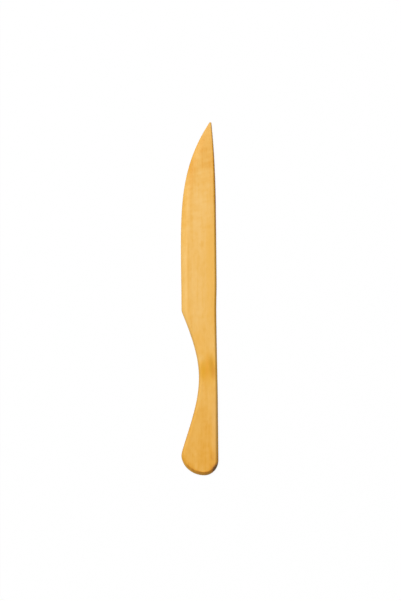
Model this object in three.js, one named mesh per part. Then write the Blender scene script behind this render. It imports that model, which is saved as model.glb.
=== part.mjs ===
// A wooden knife, carved in one piece from a flat board of pale hardwood.
// Sizes are in millimetres, with +Z up. The knife lies on one of its two flat faces,
// with its point towards +Y and its cutting edge towards -X.
// The origin is under the middle of its outline, on the surface that it lies on.
import * as THREE from "three";
import { mergeVertices } from "three/addons/utils/BufferGeometryUtils.js";

const { clamp, lerp, smoothstep } = THREE.MathUtils;

// Lengths along the knife, in order from the butt of the handle to the point
const buttLength = 15.1; // round end, up to the widest part of the handle
const gripLength = 54.2; // widest part of the handle to the narrowest part of the neck
const recessLength = 46.9; // narrowest part of the neck to the heel of the blade
const straightLength = 43.4; // heel to the deepest part of the belly
const bellyLength = 90.4; // deepest part of the belly to the point

// Widths, square to the length, from the line of the back to the edge side
const handleWidth = 26.4;
const neckWidth = 13.2;
const heelDepth = 25.1;
const bellyDepth = 25.1;
const backLean = 1.5; // the back leans this far towards the edge between butt and belly
const pointDrop = 4.3; // the point lies this far in from the back

// A shallow hollow in the back, deepest across from the heel
const hollowDepth = 0.45;
const hollowBelow = 72; // its reach towards the butt
const hollowAbove = 22; // its reach towards the point

// Corners of the outline
const buttCentre = 10; // from the back to the lowest point of the round end
const buttBackRise = 10.7; // height of the round end on the side of the back
const swellRound = 2; // reach of the rounded corner at the widest part of the handle
const heelRound = 1.2; // reach of the rounded corner at the heel
const pointRadius = 0.8;

// Slants: how far the outline moves sideways for each millimetre along the knife
const flankSlant = 0.3; // handle, just above its widest part
const heelSlant = 0.41; // neck, where it meets the heel
const pointSlant = 0.67; // cutting edge at the point
const backSlant = 0.11; // back at the point

// Thickness of the board, and how its edges are worked
const boardThickness = 6;
const pointThickness = 2.6;
const edgeThickness = 1.2;
const taperLength = 100; // the blade thins over this length behind the point
const bevelWidth = 4.3; // sanded bevel along the cutting edge, on both faces
const bevelRunout = 11; // length over which the bevel fades into the neck, below the heel
const buttEase = 2.4; // widths of the eased rim
const handleEase = 1.85;
const backEase = 1.45;
const pointEase = 0.75;
const buttReach = 10.5; // the rim narrows from the butt over this length
const pointReach = 60; // and again towards the point over this one
const easeRise = 1.1; // its height, against its width
const easeFlat = 1.8; // its profile: 1 is a quarter round, 2 is a straight chamfer

// Facets: steps along each stretch of the knife, and round each worked edge
const buttSteps = 12;
const gripSteps = 12;
const recessSteps = 12;
const straightSteps = 8;
const bellySteps = 18;
const pointSteps = 5;
const profileSteps = 6;
const mergeReach = 0.001; // corners closer than this are one

// Shares of the blade's width that its worked edges may take where it runs to a point
const bevelShare = 0.45;
const easeShare = 0.3;
const easeOfHalf = 0.9; // the eased rim takes at most this share of half the thickness

// Heights of the stations where one stretch of the knife meets the next
const neckY = buttLength + gripLength;
const heelY = neckY + recessLength;
const bellyY = heelY + straightLength;
const pointY = bellyY + bellyLength;
const pointX = -backLean - pointDrop;
const pointCentreY = pointY - pointRadius;
const leanSlant = -backLean / (bellyY - buttBackRise);
const edgeHalf = edgeThickness / 2;

// A stretch of the outline, as a cubic between two stations with a place and a slant each
function spanBetween(low, high) {
  const reach = (high.y - low.y) / 3;
  const curve = new THREE.CubicBezierCurve(
    new THREE.Vector2(low.x, low.y),
    new THREE.Vector2(low.x + low.slant * reach, low.y + reach),
    new THREE.Vector2(high.x - high.slant * reach, high.y - reach),
    new THREE.Vector2(high.x, high.y),
  );
  return { top: high.y, curve, share: (y) => (y - low.y) / (high.y - low.y) };
}

// A quarter of the butt's round end: from its lowest point up to one side of the handle
function roundEnd(width, rise, towardsEdge) {
  const side = towardsEdge ? Math.PI : 0;
  const curve = new THREE.EllipseCurve(-buttCentre, rise, width, rise, -Math.PI / 2, side, towardsEdge);
  return { top: rise, curve, share: (y) => Math.acos(clamp(1 - y / rise, -1, 1)) / (Math.PI / 2) };
}

// One side of the rounded point: an arc from where a rail touches it to its very end
function pointArc(slant, towardsEdge) {
  const touch = Math.atan(slant);
  const start = towardsEdge ? Math.PI - touch : touch;
  const curve = new THREE.EllipseCurve(
    pointX, pointCentreY, pointRadius, pointRadius, start, Math.PI / 2, towardsEdge,
  );
  const angleAt = (y) => Math.asin(clamp((y - pointCentreY) / pointRadius, -1, 1));
  return { top: pointY, curve, share: (y) => (angleAt(y) - touch) / (Math.PI / 2 - touch) };
}

// The station of a stretch at a height: its place, its slant and its direction
function stationOn(stretch, y) {
  const share = clamp(stretch.share(y), 0, 1);
  const point = stretch.curve.getPoint(share);
  const tangent = stretch.curve.getTangent(share);
  return { x: point.x, y: point.y, slant: tangent.x / tangent.y, tangent };
}

// Two stretches that meet in a corner, with a short span let in to round it
function roundedCorner(below, above, cornerY, reach) {
  const low = stationOn(below, cornerY - reach);
  const high = stationOn(above, cornerY + reach);
  return [{ ...below, top: low.y }, spanBetween(low, high), above];
}

// Places on the back of the knife: its straight, leaning line, and the hollow in it
const backX = (y) => leanSlant * (y - buttBackRise);
const backStation = (y, depth) => ({ x: backX(y) - depth, y, slant: leanSlant });
const backButt = backStation(buttBackRise, 0);
const hollowStart = backStation(heelY - hollowBelow, 0);
const hollow = backStation(heelY, hollowDepth);
const hollowEnd = backStation(heelY + hollowAbove, 0);
const backBelly = backStation(bellyY, 0);

const backPoint = stationOn(pointArc(backSlant, false), pointCentreY);
const edgePoint = stationOn(pointArc(pointSlant, true), pointCentreY);

// Places on the edge side of the knife
const swell = { x: -handleWidth, y: buttLength, slant: flankSlant };
const neck = { x: backX(neckY) - neckWidth, y: neckY, slant: 0 };
const heelBelow = { x: backX(heelY) - heelDepth, y: heelY, slant: -heelSlant };
const heelAbove = { ...heelBelow, slant: 0 };
const belly = { x: -backLean - bellyDepth, y: bellyY, slant: 0 };

const backRail = [
  roundEnd(buttCentre, buttBackRise, false),
  spanBetween(backButt, hollowStart),
  spanBetween(hollowStart, hollow),
  spanBetween(hollow, hollowEnd),
  spanBetween(hollowEnd, backBelly),
  spanBetween(backBelly, backPoint),
  pointArc(backSlant, false),
];

const edgeButt = roundEnd(handleWidth - buttCentre, buttLength, true);
const edgeRail = [
  ...roundedCorner(edgeButt, spanBetween(swell, neck), buttLength, swellRound),
  ...roundedCorner(spanBetween(neck, heelBelow), spanBetween(heelAbove, belly), heelY, heelRound),
  spanBetween(belly, edgePoint),
  pointArc(pointSlant, true),
];

// Where a rail is at a height, and which way is inwards from it
function railAt(rail, y, towardsEdge) {
  const stretch = rail.find((s) => y <= s.top) ?? rail.at(-1);
  const { x, tangent } = stationOn(stretch, y);
  const inward = new THREE.Vector2(tangent.y, -tangent.x);
  if (!towardsEdge) inward.negate();
  if (y === 0) inward.set(0, 1);
  if (y === pointY) inward.set(0, -1);
  return { x, y, inward };
}

// Heights of all the sections, closer together on the round end and at the point
function sectionHeights() {
  const heights = [0, heelY - heelRound, heelY + heelRound];
  const stretches = [
    [buttLength, gripLength, gripSteps],
    [neckY, recessLength, recessSteps],
    [heelY, straightLength, straightSteps],
    [bellyY, bellyLength - 2 * pointRadius, bellySteps],
  ];
  for (let i = 1; i <= buttSteps; i++) {
    heights.push(buttLength * (1 - Math.cos((Math.PI / 2) * (i / buttSteps))));
  }
  for (const [start, length, steps] of stretches) {
    for (let i = 1; i <= steps; i++) heights.push(start + (length * i) / steps);
  }
  for (let i = 1; i < pointSteps; i++) {
    heights.push(pointCentreY + pointRadius * Math.sin((Math.PI / 2) * (i / pointSteps)));
  }
  heights.push(pointY);
  return heights.sort((a, b) => a - b);
}

// Half the thickness of the board, which thins evenly towards the point
function halfThicknessAt(y) {
  const t = clamp((y - (pointY - taperLength)) / taperLength, 0, 1);
  return lerp(boardThickness, pointThickness, t) / 2;
}

// Width of the eased rim: fullest at the butt, even along the back of the blade, finest at the point
function easeAt(y) {
  const handle = lerp(buttEase, handleEase, smoothstep(y, 0, buttReach));
  const back = lerp(backEase, pointEase, smoothstep(y, pointY - pointReach, pointY));
  return lerp(handle, back, smoothstep(y, buttLength, neckY));
}

// A worked edge, from the rim inwards and up to the face: an eased rim turning into a bevel
// as bevelled goes from 0 to 1. Each point has an inset from the rim and a height.
function workedEdge(rim, width, half, bevelled) {
  const profile = [];
  for (let i = 0; i <= profileSteps; i++) {
    const t = i / profileSteps;
    const turn = (t * Math.PI) / 2;
    const across = i < profileSteps ? Math.cos(turn) ** easeFlat : 0;
    const up = Math.sin(turn) ** easeFlat;
    const eased = { inset: rim * (1 - across), height: half - easeRise * rim * (1 - up) };
    const sloped = { inset: width * t, height: lerp(Math.min(edgeHalf, half), half, t) };
    profile.push({
      inset: lerp(eased.inset, sloped.inset, bevelled),
      height: lerp(eased.height, sloped.height, bevelled),
    });
  }
  return profile;
}

// One closed section of the knife: over the top from edge to back, and back underneath
function sectionAt(y) {
  const edge = railAt(edgeRail, y, true);
  const back = railAt(backRail, y, false);
  const room = y > bellyY ? back.x - edge.x : Infinity;
  const width = Math.min(bevelWidth, bevelShare * room);
  const half = lerp(edgeHalf, halfThicknessAt(y), width / bevelWidth);
  const rim = Math.min(easeAt(y), easeShare * room, (easeOfHalf * half) / easeRise);
  const bevelled = smoothstep(y, heelY - bevelRunout, heelY + heelRound);

  const place = ({ x, inward }, { inset, height }, up) =>
    new THREE.Vector3(x + inward.x * inset, y + inward.y * inset, boardThickness / 2 + up * height);
  const edgeProfile = workedEdge(rim, width, half, bevelled);
  const backProfile = workedEdge(rim, width, half, 0);
  const over = [
    ...edgeProfile.map((p) => place(edge, p, 1)),
    ...backProfile.toReversed().map((p) => place(back, p, 1)),
  ];
  const under = [
    ...backProfile.map((p) => place(back, p, -1)),
    ...edgeProfile.toReversed().map((p) => place(edge, p, -1)),
  ];
  return [...over, ...under];
}

// The skin over a row of sections. The first and last ones close on themselves,
// so the triangles that have no area there are left out.
function loft(sections) {
  const around = sections[0].length;
  const points = new THREE.BufferGeometry().setFromPoints(sections.flat());
  const triangles = [];
  for (let i = 0; i + 1 < sections.length; i++) {
    for (let k = 0; k < around; k++) {
      const a = i * around + k;
      const b = i * around + ((k + 1) % around);
      triangles.push(a, b, a + around, b, b + around, a + around);
    }
  }
  const skin = mergeVertices(points.setIndex(triangles), mergeReach);
  const index = skin.getIndex().array;
  const kept = [];
  for (let i = 0; i < index.length; i += 3) {
    const [a, b, c] = index.slice(i, i + 3);
    if (a !== b && b !== c && c !== a) kept.push(a, b, c);
  }
  skin.setIndex(kept);
  skin.computeVertexNormals();
  return skin;
}

const oiledWood = new THREE.MeshStandardMaterial({ color: 0xecb765, roughness: 0.5, metalness: 0 });

function carvedKnife() {
  const skin = loft(sectionHeights().map(sectionAt));
  skin.computeBoundingBox();
  const middle = skin.boundingBox.getCenter(new THREE.Vector3());
  const knife = new THREE.Mesh(skin, oiledWood);
  knife.name = "carved_knife";
  knife.position.set(-middle.x, -middle.y, 0);
  return knife;
}

const part = new THREE.Group();
part.add(carvedKnife());

export default part;
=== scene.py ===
import math

import bmesh
import bpy
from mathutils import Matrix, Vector, kdtree


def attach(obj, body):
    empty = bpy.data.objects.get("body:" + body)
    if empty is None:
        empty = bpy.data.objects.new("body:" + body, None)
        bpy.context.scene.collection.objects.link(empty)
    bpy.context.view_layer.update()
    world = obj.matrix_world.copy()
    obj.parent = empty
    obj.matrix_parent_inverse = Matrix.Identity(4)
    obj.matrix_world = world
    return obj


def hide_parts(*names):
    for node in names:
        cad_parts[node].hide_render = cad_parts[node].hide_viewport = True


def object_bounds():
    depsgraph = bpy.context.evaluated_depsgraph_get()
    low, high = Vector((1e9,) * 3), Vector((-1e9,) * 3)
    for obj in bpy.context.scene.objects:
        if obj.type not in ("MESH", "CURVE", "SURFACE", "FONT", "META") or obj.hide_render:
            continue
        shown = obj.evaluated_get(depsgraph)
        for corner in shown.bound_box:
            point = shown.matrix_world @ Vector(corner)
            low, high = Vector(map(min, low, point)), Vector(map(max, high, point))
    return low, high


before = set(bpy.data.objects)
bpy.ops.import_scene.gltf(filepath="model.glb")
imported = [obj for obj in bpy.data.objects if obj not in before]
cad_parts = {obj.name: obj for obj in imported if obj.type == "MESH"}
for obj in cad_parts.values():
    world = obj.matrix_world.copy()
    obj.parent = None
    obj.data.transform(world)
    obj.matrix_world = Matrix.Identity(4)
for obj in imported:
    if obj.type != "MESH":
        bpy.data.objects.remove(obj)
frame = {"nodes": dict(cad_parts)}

mm = 0.001
cadLow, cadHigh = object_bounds()
print("frame:", ", ".join(frame["nodes"]))


def mix(a, b, share):
    return a + (b - a) * share


def ease(value, start, end):  # 0 before start, 1 after end, smooth between
    t = min(max((value - start) / (end - start), 0), 1)
    return t * t * (3 - 2 * t)


# The knife: one board, sawn to its outline and then sanded. Sizes in mm, y from the butt, x from the back.
cut = {
    "buttLength": 15.1,  # round end, up to the widest part of the handle
    "gripLength": 54.2,  # widest part of the handle to the narrowest part of the neck
    "recessLength": 46.9,  # neck to the heel of the blade
    "straightLength": 43.4,  # heel to the deepest part of the belly
    "bellyLength": 90.4,  # belly to the point
    "handleWidth": 26.4,
    "neckWidth": 13.2,
    "heelDepth": 25.1,
    "bellyDepth": 25.1,
    "backLean": 1.5,  # how far the back leans towards the edge, butt to belly
    "pointDrop": 4.3,  # point, in from the back
    "hollowDepth": 0.45,  # shallow hollow in the back, deepest across from the heel
    "hollowBelow": 72,  # its reach towards the butt
    "hollowAbove": 22,  # and towards the point
    "buttCentre": 10,  # lowest point of the butt, in from the back
    "buttBackRise": 10.7,  # height of the round end on the back's side
    "swellRound": 2,  # reach of the corner at the widest part of the handle
    "heelRound": 1.2,  # reach of the corner at the heel
    "pointRadius": 0.8,
    "flankSlant": 0.3,  # slants: mm sideways for each mm along
    "heelSlant": 0.41,
    "pointSlant": 0.67,
    "backSlant": 0.11,
    "slantReach": 0.01,  # each way, where the slant of a corner's sides is measured
    "boardThickness": 6,
    "pointThickness": 2.6,
    "edgeThickness": 1.2,
    "taperLength": 100,  # the blade thins over this length behind the point
    "bevelWidth": 4.3,  # sanded bevel along the cutting edge, on both faces
    "bevelRunout": 11,  # the bevel fades into the neck over this length
    "buttEase": 2.4,  # widths of the eased rim
    "handleEase": 1.85,
    "backEase": 1.45,
    "pointEase": 0.75,
    "buttReach": 10.5,  # the rim narrows from the butt over this length
    "pointReach": 60,  # and again towards the point over this one
    "easeRise": 1.1,  # height of the rim, against its width
    "easeFlat": 1.8,  # 1 is a round rim, 2 is a straight chamfer
    "easeTurns": (0, 30, 60),  # degrees, places of the loops on it
    "arrisSoft": 0.45,  # width of the sanded-over arris of the bevel
    "bevelRoll": 0.28,  # share of the bevel that rolls over towards the arris
    "rollSlope": 0.55,  # its slope, against the whole bevel's
    "crownStart": 10,  # the arris starts to fade this far before the belly
    "crownEnd": 55,  # and is gone this far past it
    "crownSteps": (0.12, 0.45, 0.85, 1.3),  # places on the crown that takes over, in bevel widths
    "edgeWall": 0.7,  # share of the edge's half thickness that stands upright
    "bevelShare": 0.45,  # most of the blade's width that the bevel takes near the point
    "easeShare": 0.3,  # that the rim takes
    "softShare": 0.08,  # and that the arris takes
    "leastRoom": 0.2,  # width that they share at the very end
    "easeOfHalf": 0.9,  # most of half the thickness that the eased rim takes
    "stations": {"butt": 12, "grip": 12, "recess": 12, "heel": 3, "straight": 9, "belly": 20, "point": 4},
    "columns": 4,  # faces across the flat of the board
    "looseStep": 0.1,  # wall and insets as first made, before each loop is slid to its place
    "sameSpot": 0.001,  # vertices closer than this are one
    "smoothing": 2,  # levels of subdivision
    "sandingDepth": 0.07,  # unevenness that hand sanding leaves
    "sandingSize": 16,  # and how wide its hollows are
    "paintedLightAndEndGrain": {  # how much of each painted light and shade, and of the darker end grain, the five loops of the rim take, from the wall in to the flat face
        "backRimShade": (1.2, 1.1, 0.6, 0.1, 0),  # painted shade along the back, which faces away from the lamp, from the heel on
        # painted shade on the top of the edge side's wall, painted light just inside it
        "edgeRimLightAndShade": (1, 0.1, -0.4, 0, 0),
        # painted shade round the butt
        "buttRimShade": (0.5, 0.35, 0.2, 0.4, 0.3),
        # end grain that takes more oil, with painted light on the two outer loops
        "endGrain": (-0.4, -0.3, 0.8, 1, 0.6),
        "arris": (0, 0, -0.35, 0.25, 0.6),  # painted highlight before the arris, darker just behind it
        "buttRange": (17, 11),  # where the butt's painted shade starts and where it is whole
        "tipRange": (190, 245),  # where the back's painted shade starts to fade and where it has faded
        "tipRimShade": 0.3,  # share of the back's painted shade that is left there
        "arrisRange": (152, 174),  # where the arris's painted highlight and darker line start to fade, and where they are gone
        "endwise": (0.1, 0.95),  # facing along the grain that shows no end grain, and all of it
    },
}

neckY = cut["buttLength"] + cut["gripLength"]
heelY = neckY + cut["recessLength"]
bellyY = heelY + cut["straightLength"]
pointY = bellyY + cut["bellyLength"]
pointX = -cut["backLean"] - cut["pointDrop"]
pointCentreY = pointY - cut["pointRadius"]
leanSlant = -cut["backLean"] / (bellyY - cut["buttBackRise"])
edgeHalf = cut["edgeThickness"] / 2


def fairCurve(low, high, y):  # x at y between two stations, each (x, y, slant)
    reach = high[1] - low[1]
    t = (y - low[1]) / reach
    ends = low[0] * (2 * t**3 - 3 * t**2 + 1) + high[0] * (3 * t**2 - 2 * t**3)
    slants = low[2] * (t**3 - 2 * t**2 + t) + high[2] * (t**3 - t**2)
    return ends + reach * slants


def roundEnd(width, rise, y):  # half the width of the butt at y
    return width * math.sqrt(max(1 - (1 - y / rise) ** 2, 0))


def roundPoint(y):  # half the width of the rounded point at y
    return math.sqrt(max(cut["pointRadius"] ** 2 - (y - pointCentreY) ** 2, 0))


def pointTouch(slant, side):  # where a side of the outline runs into the rounded point
    turn = math.atan(slant)
    x = pointX + side * cut["pointRadius"] * math.cos(turn)
    return (x, pointCentreY + cut["pointRadius"] * math.sin(turn), -side * slant)


def backX(y):  # the back of the knife: a leaning line with a shallow hollow
    lean = leanSlant * (y - cut["buttBackRise"])
    touch = pointTouch(cut["backSlant"], 1)
    if y < cut["buttBackRise"]:
        return roundEnd(cut["buttCentre"], cut["buttBackRise"], y) - cut["buttCentre"]
    if y < heelY:
        return lean - cut["hollowDepth"] * ease(y, heelY - cut["hollowBelow"], heelY)
    if y < bellyY:
        return lean - cut["hollowDepth"] * ease(y, heelY + cut["hollowAbove"], heelY)
    if y < touch[1]:
        return fairCurve((-cut["backLean"], bellyY, leanSlant), touch, y)
    return pointX + roundPoint(y)


def edgeSharp(y):  # the side of the cutting edge, before its corners are rounded
    touch = pointTouch(cut["pointSlant"], -1)
    heelX = leanSlant * (heelY - cut["buttBackRise"]) - cut["heelDepth"]
    neck = (leanSlant * (neckY - cut["buttBackRise"]) - cut["neckWidth"], neckY, 0)
    belly = (-cut["backLean"] - cut["bellyDepth"], bellyY, 0)
    if y < cut["buttLength"]:
        return -cut["buttCentre"] - roundEnd(cut["handleWidth"] - cut["buttCentre"], cut["buttLength"], y)
    if y < neckY:
        return fairCurve((-cut["handleWidth"], cut["buttLength"], cut["flankSlant"]), neck, y)
    if y < heelY:
        return fairCurve(neck, (heelX, heelY, -cut["heelSlant"]), y)
    if y < bellyY:
        return fairCurve((heelX, heelY, 0), belly, y)
    if y < touch[1]:
        return fairCurve(belly, touch, y)
    return pointX - roundPoint(y)


def edgeStation(y):  # (x, y, slant) on that side
    reach = cut["slantReach"]
    slant = (edgeSharp(y + reach) - edgeSharp(y - reach)) / (2 * reach)
    return (edgeSharp(y), y, slant)


def edgeX(y):  # the same side with its two corners rounded
    for cornerY, reach in ((cut["buttLength"], cut["swellRound"]), (heelY, cut["heelRound"])):
        if abs(y - cornerY) < reach:
            return fairCurve(edgeStation(cornerY - reach), edgeStation(cornerY + reach), y)
    return edgeSharp(y)


def stationHeights():  # closer together on the round end, at the heel and at the point
    counts = cut["stations"]
    quarter = math.pi / 2
    turns = [quarter * i / counts["butt"] for i in range(1, counts["butt"])]
    found = [cut["buttLength"] * (1 - math.cos(turn)) for turn in turns]
    stretches = (
        (cut["buttLength"], neckY, counts["grip"]),
        (neckY, heelY - cut["heelRound"], counts["recess"]),
        (heelY - cut["heelRound"], heelY + cut["heelRound"], counts["heel"]),
        (heelY + cut["heelRound"], bellyY, counts["straight"]),
        (bellyY, pointCentreY - cut["pointRadius"], counts["belly"]),
    )
    for start, end, count in stretches:
        found += [mix(start, end, i / count) for i in range(count)]
    found.append(pointCentreY - cut["pointRadius"])
    turns = [quarter * i / counts["point"] for i in range(counts["point"])]
    return found + [pointCentreY + cut["pointRadius"] * math.sin(turn) for turn in turns]


def inFrame(x, y):  # from the board's own mm to the frame, with z from halfway through the board
    return Vector((cadHigh.x + x * mm, cadLow.y + y * mm, 0))


# The outline, from the butt along the edge to the point and along the back to the butt again
heights = stationHeights()
edgeSide = [inFrame(edgeX(y), y) for y in heights]
backSide = [inFrame(backX(y), y) for y in heights]
butt = inFrame(-cut["buttCentre"], 0)
point = inFrame(pointX, pointY)
outline = [butt] + edgeSide + [point] + backSide[::-1]
outlineY = [0] + heights + [pointY] + heights[::-1]


def halfThickness(y):
    taper = max(y - pointY + cut["taperLength"], 0) / cut["taperLength"]
    return mix(cut["boardThickness"], cut["pointThickness"], taper) / 2


def rimWidth(y):
    handle = mix(cut["buttEase"], cut["handleEase"], ease(y, 0, cut["buttReach"]))
    back = mix(cut["backEase"], cut["pointEase"], ease(y, pointY - cut["pointReach"], pointY))
    return mix(handle, back, ease(y, cut["buttLength"], neckY))


def mixLoops(before, after, share):
    return [(mix(a[0], b[0], share), mix(a[1], b[1], share)) for a, b in zip(before, after)]


# Loops are (inset, height) in mm, five of them from the wall in to the flat face
def easedLoops(rim, half, soft):
    loops = []
    for turn in cut["easeTurns"]:
        inset = rim * (1 - math.cos(math.radians(turn)) ** cut["easeFlat"])
        drop = rim * cut["easeRise"] * (1 - math.sin(math.radians(turn)) ** cut["easeFlat"])
        loops.append((inset, half - drop))
    return loops + [(rim, half), (rim + soft, half)]


# The bevel is a flat that rolls over to its arris, and towards the point it is sanded into one crown
def bevelLoops(y, width, half, soft):
    wall = (0, cut["edgeWall"] * edgeHalf)
    slope = (half - edgeHalf) / width
    roll = cut["bevelRoll"] * width
    rolled = (width - roll, half - cut["rollSlope"] * slope * roll)
    flat = [wall, (soft, edgeHalf + slope * soft), rolled, (width, half), (width + soft, half)]
    steps = cut["crownSteps"]
    crown = [wall] + [(s * width, mix(half, edgeHalf, (1 - s / steps[-1]) ** 2)) for s in steps]
    return mixLoops(flat, crown, ease(y, bellyY - cut["crownStart"], bellyY + cut["crownEnd"]))


def rimLoops(y, bevelled):  # bevelled is 0 on the eased rim and 1 on the cutting edge
    room = max(backX(y) - edgeX(y), cut["leastRoom"]) if y > bellyY else cut["handleWidth"]
    width = min(cut["bevelWidth"], cut["bevelShare"] * room)
    half = mix(edgeHalf, halfThickness(y), width / cut["bevelWidth"])
    rim = min(rimWidth(y), cut["easeShare"] * room, cut["easeOfHalf"] * half / cut["easeRise"])
    soft = min(cut["arrisSoft"], cut["softShare"] * room)
    return mixLoops(easedLoops(rim, half, soft), bevelLoops(y, width, half, soft), bevelled)


def rimPaintedLightAndEndGrain(y, onEdge, facing, bevelled):  # what each loop takes of the rim's painted light and shade, of the darker end grain and of the arris's painted highlight
    paintedLightAndEndGrain = cut["paintedLightAndEndGrain"]
    fading = mix(1, paintedLightAndEndGrain["tipRimShade"], ease(y, *paintedLightAndEndGrain["tipRange"]))
    kept = 1 - bevelled if onEdge else fading * ease(y, neckY, heelY)
    onButt = ease(y, *paintedLightAndEndGrain["buttRange"])
    sides = paintedLightAndEndGrain["edgeRimLightAndShade" if onEdge else "backRimShade"]
    endwise = ease(facing, *paintedLightAndEndGrain["endwise"]) * (1 - bevelled)
    sharp = bevelled * (1 - ease(y, *paintedLightAndEndGrain["arrisRange"]))
    return {
        "rim": [mix(side * kept, end, onButt) for side, end in zip(sides, paintedLightAndEndGrain["buttRimShade"])],
        "endGrain": [share * endwise for share in paintedLightAndEndGrain["endGrain"]],
        "arris": [share * sharp for share in paintedLightAndEndGrain["arris"]],
    }


def pickOnly(form, elements):
    bpy.ops.mesh.select_all(action="DESELECT")
    for element in elements:
        element.select_set(True)
    form.select_flush_mode()


def placeVertex(form, vertex, place):
    pickOnly(form, [vertex])
    bpy.ops.transform.translate(value=place - vertex.co)


# A strip of faces from butt to point: the first face is a plane, and its far edge is extruded on
def layStrip():
    bpy.ops.object.select_all(action="DESELECT")
    bpy.ops.mesh.primitive_plane_add(size=cut["handleWidth"] * mm, location=(0, 0, 0))
    board = bpy.context.object
    board.name = board.data.name = "carvedKnife"
    bpy.ops.object.mode_set(mode="EDIT")
    bpy.ops.mesh.select_mode(type="VERT")
    form = bmesh.from_edit_mesh(board.data)
    corners = sorted(form.verts, key=lambda v: (v.co.y > 0, v.co.x))
    for vertex, place in zip(corners, (edgeSide[0], backSide[0], edgeSide[1], backSide[1])):
        placeVertex(form, vertex, place)
    pickOnly(form, corners[2:])
    for i in range(2, len(heights)):
        before = (edgeSide[i - 1] + backSide[i - 1]) / 2
        middle = (edgeSide[i] + backSide[i]) / 2
        wider = (backSide[i].x - edgeSide[i].x) / (backSide[i - 1].x - edgeSide[i - 1].x)
        bpy.ops.mesh.extrude_region_move(TRANSFORM_OT_translate={"value": middle - before})
        bpy.ops.transform.resize(value=(wider, 1, 1), center_override=middle)
    for left, right, end in ((edgeSide[-1], backSide[-1], point), (edgeSide[0], backSide[0], butt)):
        gaps = ((v, min((v.co - left).length, (v.co - right).length)) for v in form.verts)
        pickOnly(form, [v for v, gap in gaps if gap < cut["sameSpot"] * mm])
        bpy.ops.mesh.extrude_region_move(TRANSFORM_OT_translate={"value": end - (left + right) / 2})
        bpy.ops.mesh.merge(type="CENTER")
        placeVertex(form, next(v for v in form.verts if v.select), end)
    print("knife: strip of", len(form.faces), "faces")
    return board, form


# The rim: a wall up from the middle of the board, then an inset for each loop after the wall's
def raiseRim(form):
    step = cut["looseStep"] * mm
    bpy.ops.mesh.select_all(action="SELECT")
    bpy.ops.mesh.extrude_region_move(TRANSFORM_OT_translate={"value": (0, 0, step)})
    pickOnly(form, [f for f in form.faces if all(v.co.z < step / 2 for v in f.verts)])
    bpy.ops.mesh.delete(type="FACE")
    pickOnly(form, [f for f in form.faces if all(v.co.z > step / 2 for v in f.verts)])
    for _ in cut["crownSteps"]:
        bpy.ops.mesh.inset(thickness=step, use_even_offset=True)


# Each loop is slid to its own inset and height, station by station
def slideLoops(form):
    step = cut["looseStep"] * mm
    form.verts.index_update()
    form.verts.ensure_lookup_table()
    nearest = kdtree.KDTree(len(form.verts))
    for vertex in form.verts:
        nearest.insert(vertex.co, vertex.index)
    nearest.balance()
    moves = []
    layers = {}
    innermost = {}  # vertex of the last loop: its station
    for i, place in enumerate(outline):
        y = outlineY[i]
        ahead = (outline[(i + 1) % len(outline)] - place).normalized()
        along = (ahead + (place - outline[i - 1]).normalized()).normalized()
        inward = Vector((along.y, -along.x, 0))
        onEdge = i <= len(heights) + 1  # the butt and the point count with the edge
        bevelled = ease(y, heelY - cut["bevelRunout"], heelY + cut["heelRound"]) if onEdge else 0
        column = [nearest.find(place)[1]]  # foot of the wall, then the loops
        for k, (inset, height) in enumerate(rimLoops(y, bevelled)):
            column.append(nearest.find(place + inward * step * k + Vector((0, 0, step)))[1])
            moves.append((column[-1], place + inward * inset * mm + Vector((0, 0, height * mm))))
        innermost[column[-1]] = i
        for name, shares in rimPaintedLightAndEndGrain(y, onEdge, abs(inward.y), bevelled).items():
            layers.setdefault(name, {}).update(zip(column, shares[:1] + shares))
    for index, place in moves:
        placeVertex(form, form.verts[index], place)
    return layers, innermost


# Columns across the face, between the innermost loops of the two sides
def cutColumns(form, innermost):
    rungs = []
    for edge in form.edges:
        ends = [innermost.get(v.index) for v in edge.verts]
        if None not in ends and sum(ends) == len(outline):  # stations across from each other
            rungs.append(edge)
    bpy.ops.mesh.select_mode(type="EDGE")
    pickOnly(form, rungs)
    bpy.ops.mesh.subdivide(number_cuts=cut["columns"] - 1)
    return len(rungs)


# The other face, the roundness and the unevenness of sanded wood
def sandBoard(board):
    mirror = board.modifiers.new("otherFace", "MIRROR")
    mirror.use_axis = (False, False, True)
    mirror.merge_threshold = cut["sameSpot"] * mm
    smooth = board.modifiers.new("sandedRound", "SUBSURF")
    smooth.levels = smooth.render_levels = cut["smoothing"]
    sanding = bpy.data.textures.new("handSanding", "CLOUDS")
    sanding.noise_scale = cut["sandingSize"] * mm
    uneven = board.modifiers.new("handSanding", "DISPLACE")
    uneven.texture = sanding
    uneven.strength = cut["sandingDepth"] * mm
    for modifier in (mirror, smooth, uneven):
        bpy.ops.object.modifier_apply(modifier=modifier.name)
    bpy.ops.object.mode_set(mode="EDIT")
    bpy.ops.mesh.select_all(action="SELECT")
    bpy.ops.mesh.normals_make_consistent(inside=False)
    bpy.ops.transform.translate(value=(0, 0, cut["boardThickness"] / 2 * mm))  # its underside to z = 0
    bpy.ops.object.mode_set(mode="OBJECT")
    bpy.ops.object.shade_smooth()


def makeKnife():
    board, form = layStrip()
    raiseRim(form)
    layers, innermost = slideLoops(form)
    rungs = cutColumns(form, innermost)
    bpy.ops.object.mode_set(mode="OBJECT")
    for name, values in layers.items():
        layer = board.data.attributes.new(name, "FLOAT", "POINT")
        for index, value in values.items():
            layer.data[index].value = value
    print("knife: cage of", len(board.data.polygons), "faces on one side,", rungs, "rungs")
    sandBoard(board)
    print("knife:", len(board.data.polygons), "faces when finished")
    return board


knife = makeKnife()
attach(knife, "root")
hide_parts("carved_knife")


def linear(hexColour):  # sRGB hex to the linear values that nodes take
    parts = [int(hexColour[i : i + 2], 16) / 255 for i in (1, 3, 5)]
    return tuple(p / 12.92 if p <= 0.04045 else ((p + 0.055) / 1.055) ** 2.4 for p in parts) + (1,)


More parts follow.
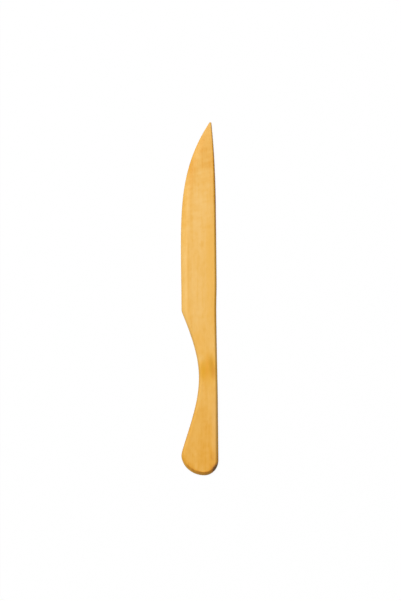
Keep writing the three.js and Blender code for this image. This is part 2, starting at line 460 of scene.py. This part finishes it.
def addNode(tree, kind, settings=None, links=None):
    made = tree.nodes.new(kind)
    for name, value in (settings or {}).items():
        if isinstance(name, int) or name in made.inputs:
            made.inputs[name].default_value = value
        else:
            setattr(made, name, value)
    for name, source in (links or {}).items():
        tree.links.new(source, made.inputs[name])
    return made


def newTree(owner):
    owner.use_nodes = True
    owner.node_tree.nodes.clear()
    return owner.node_tree


# A mix node has sockets of the same name for values and for colours, so they go by number
firstValue, secondValue = 2, 3
firstColour, secondColour, mixedColour = 6, 7, 2


# Boxwood, a fine and even hardwood, sanded and oiled: honey gold with soft lengthwise bands and a low sheen,
# amber in the figure of the neck, darker on the grip and on the end grain of the butt; painted shade along
# the back and round the butt, painted light along the edge side and the arris.
# Places are in mm from under the middle of the knife, sizes in mm across, along and through the board.
woodLook = {
    "tones": ((0.0, "#f8cd83"), (0.36, "#eeb758"), (0.6, "#e3a12e"), (0.8, "#c47a24"), (1.0, "#5c360a")),
    "meanTone": 0.3,
    "waveSize": (30, 160, 30),  # how far apart the waves of the grain lie
    "waveReach": 3,
    "patterns": {  # size, slant in degrees, detail, tone from palest to darkest
        "cloud": ((22, 80, 22), 0, 2, 0.2),  # broad light and dark wood
        "band": ((5.5, 170, 5.5), 0, 3, 0.24),  # growth rings, cut lengthwise
        "mottle": ((7, 17, 7), 0, 2, 0.26),  # oil taken up unevenly
        "fleck": ((2.6, 4, 2.6), 0, 2, 0.2),  # the same, finer
        "streak": ((0.9, 36, 0.9), 0, 4, 0.16),  # vessel lines: under 0.1 mm wide in life, coarser to show
        "ripple": ((10, 3.4, 10), 12, 1, 0.3),  # curl across the grain
    },
    "rippleRange": (22, 60),  # where it starts and where it is whole, towards the point
    "poreSize": (0.45, 6, 0.45),  # under 0.1 mm wide in life too, coarser for the same reason
    "poreDetail": 0,
    "poreRange": (0.64, 0.8),  # the noise that starts a pore, and that fills it
    "poreTone": 0.07,
    "poreDip": -0.6,  # against the height of a streak
    "spots": (  # centre, half size, tone added
        ((8.8, -48.4, 4), (3.4, 11, 6), 0.3),  # two brown streaks of the neck
        ((6.8, -45, 4), (2.4, 9, 6), 0.16),
        ((12.3, -121.4, 4.4), (4.4, 6.6, 3.8), 0.84),  # dark corner of the butt: a stain, with painted shade where the rounded corner faces away from the lamp
        ((13.7, -114, 4), (1.6, 17, 8), 0.24),  # and painted shade on the back's rim beside it
        ((0.4, -12.3, 5), (10, 2.6, 6), 0.06),  # faint band across the heel
        ((1.5, 38.8, 6), (2.4, 3.6, 3), 0.1),  # two pin knots
        ((-0.6, -7.3, 6), (2.6, 2.0, 3), 0.07),
        ((-6.2, 64, 5), (2.6, 36, 6), 0.1),  # darker streak inside the bevel
        ((14, 104, 3), (21, 50, 10), 0.24),  # darker point
        ((-5.8, 91, 4), (6, 23, 6), 0.26),  # the edge below it
        ((1, 100, 4), (11, 17, 8), 0.07),  # the wood between them
        ((-11, 62, 4), (4, 30, 8), 0.07),  # and the edge further down
        ((9.6, -5.6, 5), (3.2, 19, 6), 0.12),  # darker back, across from the heel
        ((0.2, 66, 6), (8, 24, 6), -0.05),  # paler middle of the blade
        ((2.6, -65, 4), (5, 9, 6), -0.07),  # paler ends of the figure of the neck
        ((1.6, -42.6, 4), (4.6, 6, 6), -0.1),
        ((-10, -104, 4), (6, 24, 8), -0.06),  # paler sides of the handle
        ((11, -96, 4), (5, 20, 12), -0.18),
    ),
    "stains": (  # centre, half size, share, colour
        ((6.4, -49.6, 4), (10, 20, 13), 0.7, "#e6a60c"),  # oil soaked into the amber figure of the neck
        ((2.9, -50.5, 4), (5, 11, 9), 1, "#e2a000"),
        ((5.8, -48.5, 4), (2.8, 16, 6), 0.7, "#e89c20"),
        ((8.4, -46.4, 4), (2.8, 11, 6), 0.7, "#cc9018"),
        ((10, -52, 4), (2.6, 9, 6), 0.7, "#d48e20"),
        ((7.8, 23, 4), (6, 72, 12), 0.65, "#ebae38"),  # yellower band beside the back of the blade
        ((-1, -30, 4), (7, 16, 8), 0.45, "#ecaa28"),  # yellower wood above the neck and below it
        ((-1.4, -80, 4), (8, 24, 10), 0.2, "#e2a224"),
        ((11.2, -91, 4), (3.8, 44, 9), 0.6, "#e8b262"),  # paler strip along the back of the handle
    ),
    "patchWander": 0.5,  # how ragged the spots and stains are, in half sizes
    "gripTone": 0.21,  # handling darkens the grip
    "gripRange": (-35, -108),  # where that starts and where it is whole, towards the butt
    "rimTone": 0.24,  # tones where the rim's painted shade and light, the darker end grain and the arris's painted highlight are 1
    "endGrainTone": 0.14,
    "arrisTone": 0.22,
    "roughness": (0.6, 0.5),  # palest, darkest
    "grainDepth": 0.03,
    "grainStrength": 0.5,
    "ior": 1.5,
    "specular": 0.28,  # oil that has soaked in shines less than a film
}
sized = {"vector_type": "TEXTURE"}  # a mapping whose scale is the pattern's size
unit = {"Scale": 1}  # a noise as large as its mapping says
smoothly = {"interpolation_type": "SMOOTHSTEP"}
noiseMiddle = 0.5  # a noise runs from 0 to 1 around this


# Grain that wanders: every pattern of the wood is laid on it
def layGrain(tree, place):
    spread = addNode(tree, "ShaderNodeMapping", {**sized, "Scale": woodLook["waveSize"]}, {"Vector": place})
    waves = addNode(tree, "ShaderNodeTexNoise", unit, {"Vector": spread.outputs[0]})
    centred = {"operation": "SUBTRACT", 1: (noiseMiddle,) * 3}
    offset = addNode(tree, "ShaderNodeVectorMath", centred, {0: waves.outputs["Color"]})
    reach = {"operation": "MULTIPLY_ADD", 1: (woodLook["waveReach"],) * 3}
    return addNode(tree, "ShaderNodeVectorMath", reach, {0: offset.outputs[0], 2: place}).outputs[0]


# The patterns, each around the middle of its noise, and the pores, from 0 to 1
def drawFigures(tree, grain):
    figures = {}
    noises = {**woodLook["patterns"], "pores": (woodLook["poreSize"], 0, woodLook["poreDetail"], 0)}
    for name, (size, slant, detail, _) in noises.items():
        laid = {**sized, "Rotation": (0, 0, math.radians(slant)), "Scale": size}
        mapped = addNode(tree, "ShaderNodeMapping", laid, {"Vector": grain}).outputs[0]
        noise = addNode(tree, "ShaderNodeTexNoise", {**unit, "Detail": detail}, {"Vector": mapped})
        figures[name] = noise.outputs["Fac"]
    start, filled = woodLook["poreRange"]
    opened = {**smoothly, "From Min": start, "From Max": filled}
    figures["pores"] = addNode(tree, "ShaderNodeMapRange", opened, {"Value": figures["pores"]}).outputs[0]
    return figures


# Spots and stains: 1 in the middle of each, 0 at its rim
def drawPatches(tree, grain, mottle):
    patches = {}
    wander = woodLook["patchWander"]
    uneven = {"operation": "MULTIPLY_ADD", 1: wander}
    fading = {**smoothly, "From Min": 1 + wander * noiseMiddle, "From Max": wander * noiseMiddle}
    for centre, size, *_ in woodLook["spots"] + woodLook["stains"]:
        laid = {**sized, "Location": centre, "Scale": size}
        around = addNode(tree, "ShaderNodeMapping", laid, {"Vector": grain})
        away = addNode(tree, "ShaderNodeVectorMath", {"operation": "LENGTH"}, {0: around.outputs[0]})
        ragged = addNode(tree, "ShaderNodeMath", uneven, {0: mottle, 2: away.outputs["Value"]})
        patch = addNode(tree, "ShaderNodeMapRange", fading, {"Value": ragged.outputs[0]})
        patches[centre] = patch.outputs[0]
    return patches


# All that darkens or lightens the wood adds up to one tone. Each addition is (source, amount, its middle).
def addTones(tree, additions):
    tone = None
    start = woodLook["meanTone"] - sum(amount * middle for _, amount, middle in additions)
    for source, amount, _ in additions:
        step = {"operation": "MULTIPLY_ADD", 1: amount, 2: start}
        links = {0: source} if tone is None else {0: source, 2: tone}
        tone = addNode(tree, "ShaderNodeMath", step, links).outputs[0]
    return tone


# The tone's colour, from the palest wood to the darkest, with the stains over it
def colourWood(tree, tone, patches):
    ramp = addNode(tree, "ShaderNodeValToRGB", {}, {"Fac": tone})
    stops = ramp.color_ramp.elements
    while len(stops) < len(woodLook["tones"]):
        stops.new(1)
    for stop, (position, hexColour) in zip(stops, woodLook["tones"]):
        stop.position = position
        stop.color = linear(hexColour)
    colour = ramp.outputs["Color"]
    for centre, _, share, hexColour in woodLook["stains"]:
        soaked = addNode(tree, "ShaderNodeMath", {"operation": "MULTIPLY", 1: share}, {0: patches[centre]})
        stain = {"data_type": "RGBA", secondColour: linear(hexColour)}
        stained = addNode(tree, "ShaderNodeMix", stain, {0: soaked.outputs[0], firstColour: colour})
        colour = stained.outputs[mixedColour]
    return colour


def oiledBoxwood():
    wood = bpy.data.materials.new("oiledBoxwood")
    tree = newTree(wood)
    coords = addNode(tree, "ShaderNodeTexCoord").outputs["Object"]
    inMm = {"operation": "SCALE", "Scale": 1 / mm}
    place = addNode(tree, "ShaderNodeVectorMath", inMm, {0: coords}).outputs[0]
    along = addNode(tree, "ShaderNodeSeparateXYZ", {}, {0: place}).outputs["Y"]
    grain = layGrain(tree, place)
    figures = drawFigures(tree, grain)
    patches = drawPatches(tree, grain, figures["mottle"])

    # Shares that grow along the knife: the ripple towards the point, handling towards the butt
    growing = {}
    for name in ("ripple", "grip"):
        start, whole = woodLook[name + "Range"]
        stretch = {**smoothly, "From Min": start, "From Max": whole}
        growing[name] = addNode(tree, "ShaderNodeMapRange", stretch, {"Value": along}).outputs[0]
    shares = {0: growing["ripple"], secondValue: figures["ripple"]}
    figures["ripple"] = addNode(tree, "ShaderNodeMix", {firstValue: noiseMiddle}, shares).outputs[0]

    # What adds to the tone: patterns, spots, pores, handling, the darker end grain and the painted light and
    # shade of the rim and the arris
    additions = [(figures[name], pattern[-1], noiseMiddle) for name, pattern in woodLook["patterns"].items()]
    additions += [(patches[centre], amount, 0) for centre, _, amount in woodLook["spots"]]
    additions.append((figures["pores"], woodLook["poreTone"], 0))
    additions.append((growing["grip"], woodLook["gripTone"], 0))
    for layer in ("rim", "endGrain", "arris"):
        lightAndEndGrainLayer = addNode(tree, "ShaderNodeAttribute", {"attribute_name": layer})
        additions.append((lightAndEndGrainLayer.outputs["Fac"], woodLook[layer + "Tone"], 0))
    tone = addTones(tree, additions)
    colour = colourWood(tree, tone, patches)

    # Oil leaves the dense, dark wood a little glossier, and sanding leaves the streaks and pores just felt
    pale, dark = woodLook["roughness"]
    satin = addNode(tree, "ShaderNodeMapRange", {"To Min": pale, "To Max": dark}, {"Value": tone}).outputs[0]
    dips = {"operation": "MULTIPLY_ADD", 1: woodLook["poreDip"]}
    relief = addNode(tree, "ShaderNodeMath", dips, {0: figures["pores"], 2: figures["streak"]}).outputs[0]
    depth = {"Strength": woodLook["grainStrength"], "Distance": woodLook["grainDepth"] * mm}
    felt = addNode(tree, "ShaderNodeBump", depth, {"Height": relief}).outputs[0]
    shine = {"IOR": woodLook["ior"], "Specular IOR Level": woodLook["specular"]}
    links = {"Base Color": colour, "Roughness": satin, "Normal": felt}
    shader = addNode(tree, "ShaderNodeBsdfPrincipled", shine, links)
    addNode(tree, "ShaderNodeOutputMaterial", {}, {"Surface": shader.outputs["BSDF"]})
    return wood


knife.data.materials.append(oiledBoxwood())
print("wood: oiled boxwood on the knife")


# The studio: paper floor, one large soft lamp and the camera. Sizes in m where no other is given.
studio = {
    "floorSize": 8,
    "floorGap": 0.1,  # mm below the knife
    "floorColour": "#9a9a98",  # what the knife gets back from the floor
    "floorSeen": "#ffffff",  # what the picture shows of it
    "floorLift": 0.97,  # share of that white which takes no shadow
    "worldColour": "#ffffff",
    "worldFill": 0.02,  # share of it that lights the knife from all around
    "keyPower": 472,  # W
    "keySize": 3.2,
    "keyPlace": (-1.85, 2.1, 5.9),
    "pictureCentre": (0.58, -1.22),  # mm from the middle of the knife
    "pictureHeight": 425.5,  # mm that the picture's height takes in, halfway through the board
    "lens": 85,  # mm
    "sensor": 36,  # mm
}


def directlySeen(tree):  # 1 for what the camera sees, straight on, in a shine or through glass
    ray = addNode(tree, "ShaderNodeLightPath")
    seen = ray.outputs["Is Camera Ray"]
    for other in ("Is Glossy Ray", "Is Transmission Ray"):
        either = {0: seen, 1: ray.outputs[other]}
        seen = addNode(tree, "ShaderNodeMath", {"operation": "MAXIMUM"}, either).outputs[0]
    return seen


# White paper, quite matt: the picture shows it plain white, with a trace of the knife's shadow
def makeFloor():
    bpy.ops.object.select_all(action="DESELECT")
    bpy.ops.mesh.primitive_plane_add(size=studio["floorSize"], location=(0, 0, -studio["floorGap"] * mm))
    floor = bpy.context.object
    floor.name = "floor"
    paper = bpy.data.materials.new("whitePaper")
    tree = newTree(paper)
    seen = directlySeen(tree)
    lit, shown = linear(studio["floorColour"]), linear(studio["floorSeen"])
    colours = {"data_type": "RGBA", firstColour: lit, secondColour: shown}
    colour = addNode(tree, "ShaderNodeMix", colours, {0: seen}).outputs[mixedColour]
    matt = addNode(tree, "ShaderNodeBsdfDiffuse", {}, {"Color": colour})
    white = addNode(tree, "ShaderNodeEmission", {"Color": shown})
    lift = addNode(tree, "ShaderNodeMath", {"operation": "MULTIPLY", 1: studio["floorLift"]}, {0: seen})
    shares = {0: lift.outputs[0], 1: matt.outputs[0], 2: white.outputs[0]}
    both = addNode(tree, "ShaderNodeMixShader", {}, shares)
    addNode(tree, "ShaderNodeOutputMaterial", {}, {"Surface": both.outputs[0]})
    floor.data.materials.append(paper)


def makeLight():
    world = bpy.data.worlds.new("studio")
    bpy.context.scene.world = world
    tree = newTree(world)
    shares = {"To Min": studio["worldFill"], "To Max": 1}  # all of its colour where it is seen
    level = addNode(tree, "ShaderNodeMapRange", shares, {"Value": directlySeen(tree)})
    plain = {"Color": linear(studio["worldColour"])}
    sky = addNode(tree, "ShaderNodeBackground", plain, {"Strength": level.outputs[0]})
    addNode(tree, "ShaderNodeOutputWorld", {}, {"Surface": sky.outputs[0]})
    bpy.ops.object.light_add(type="AREA", location=studio["keyPlace"])
    key = bpy.context.object
    key.name = "keyLight"
    key.data.energy = studio["keyPower"]
    key.data.size = studio["keySize"]
    key.rotation_euler = (-key.location).to_track_quat("-Z", "Y").to_euler()


def makeCamera():  # square above the knife, with the butt towards the bottom of the picture
    bpy.ops.object.camera_add()
    camera = bpy.context.object
    camera.name = "camera"
    camera.data.lens = studio["lens"]
    camera.data.sensor_width = studio["sensor"]
    middle = (cadLow + cadHigh) / 2
    offset = studio["pictureCentre"]
    away = studio["pictureHeight"] * studio["lens"] / studio["sensor"] * mm
    camera.location = (middle.x + offset[0] * mm, middle.y + offset[1] * mm, middle.z + away)
    bpy.context.scene.camera = camera


makeFloor()
makeLight()
makeCamera()
bpy.context.scene.view_settings.view_transform = "Standard"
print("stage: floor, key light and camera")
